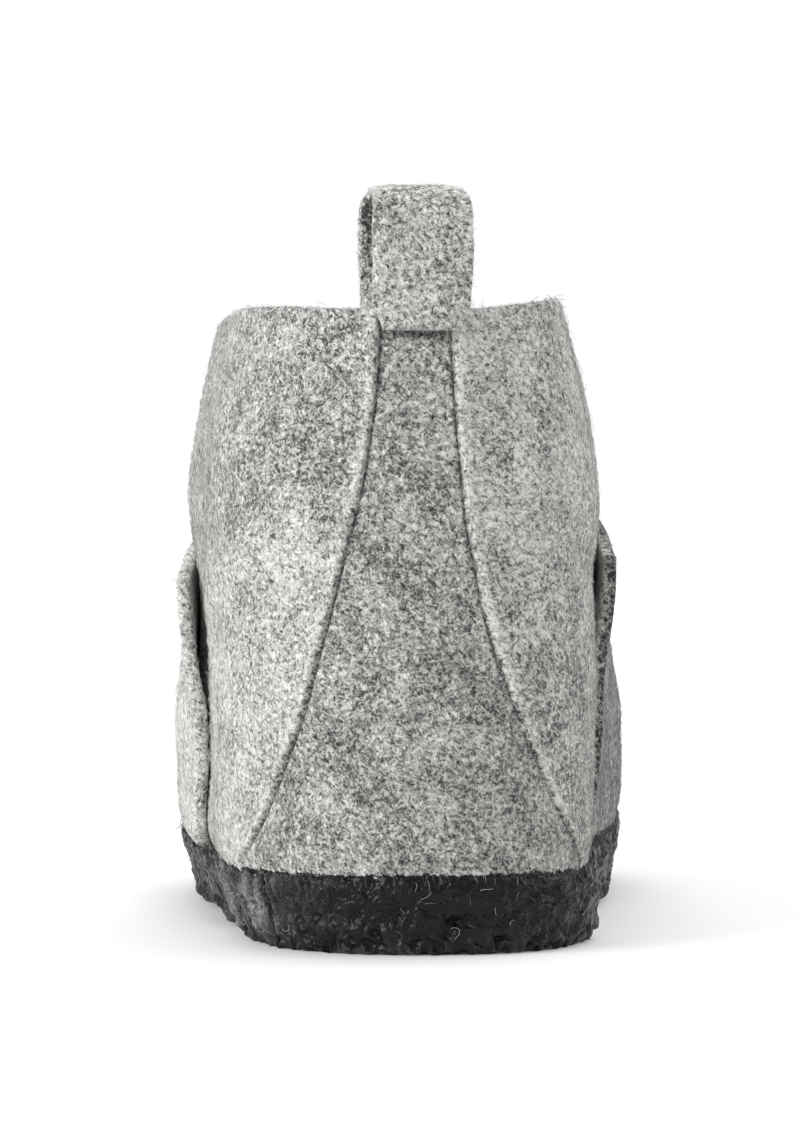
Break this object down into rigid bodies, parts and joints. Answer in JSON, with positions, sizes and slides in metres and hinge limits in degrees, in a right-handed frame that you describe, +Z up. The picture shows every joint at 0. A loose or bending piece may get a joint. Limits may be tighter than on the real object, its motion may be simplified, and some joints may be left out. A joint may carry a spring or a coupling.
{
  "type": "felt ankle slipper",
  "caption": "Ankle-high grey wool felt slipper with a lapped vamp, a flared back strip, a pull loop at the heel and a black rubber-dipped sole",
  "frame": {"origin": "on the floor, in the middle of the flat spot under the heel, 40 mm forward of the back of the heel", "axes": "+Y towards the toe, +Z up, +X towards the inner side of the foot"},
  "size_m": [0.108, 0.2688, 0.1566],
  "materials": {
    "black_rubber": "rough dipped latex over felt, matt with small pits",
    "footbed_felt": "plain pressed wool felt, matt",
    "light_felt": "mottled light grey wool felt with a short nap, matt"
  },
  "bodies": {
    "root": {"outsole": "black_rubber", "insole": "footbed_felt", "upper": "light_felt", "vamp": "light_felt", "pull_loop": "light_felt"}
  },
  "joints": []
}
